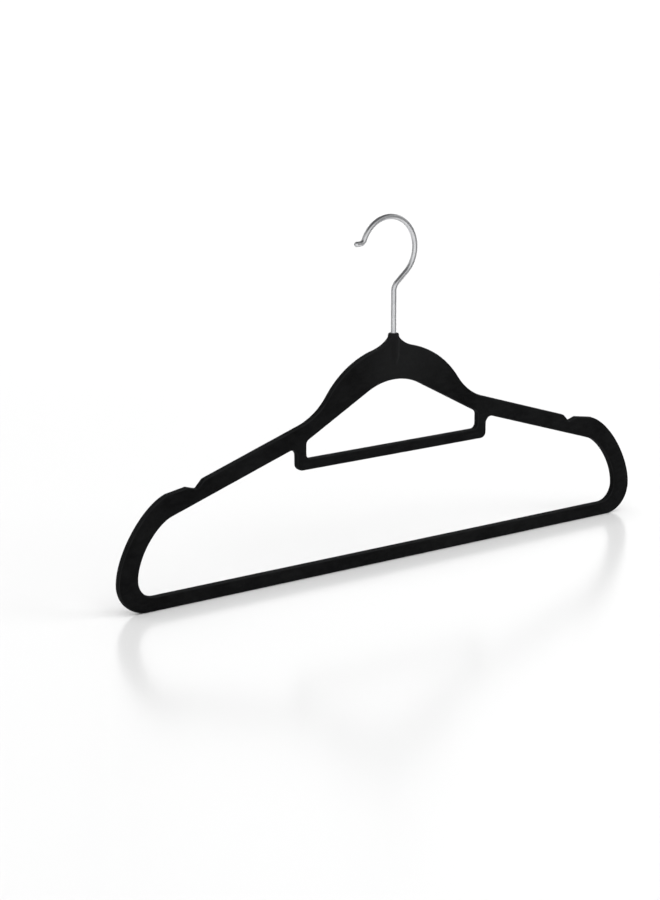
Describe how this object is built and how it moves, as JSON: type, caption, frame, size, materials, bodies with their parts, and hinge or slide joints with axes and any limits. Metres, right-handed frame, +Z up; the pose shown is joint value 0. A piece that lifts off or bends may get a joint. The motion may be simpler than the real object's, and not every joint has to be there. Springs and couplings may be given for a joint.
{
  "type": "clothes hanger",
  "caption": "Slim black flocked suit hanger with sloping notched shoulders, accessory bar, trouser bar and a swivelling wire hook.",
  "frame": {"origin": "middle of the trouser bar's underside, half way through the thickness", "axes": "+X along the shoulders, -Y to the front, +Z up along the hook's stem; the hook's mouth opens towards -X"},
  "size_m": [0.445, 0.0082, 0.2434],
  "materials": {
    "flocked_plastic": "black nylon flock bonded to injection moulded ABS",
    "plated_steel": "bright nickel plated steel wire",
    "bush_plastic": "smooth moulded nylon"
  },
  "bodies": {
    "hook": {"hook": "plated_steel"},
    "frame": {"frame": "flocked_plastic", "neck_bush": "bush_plastic"}
  },
  "joints": [
    {"name": "hook_swivel", "type": "hinge", "parent": "hook", "child": "frame", "pos_m": [0, 0, 0.15], "axis": [0, 0, 1], "continuous": true}
  ]
}
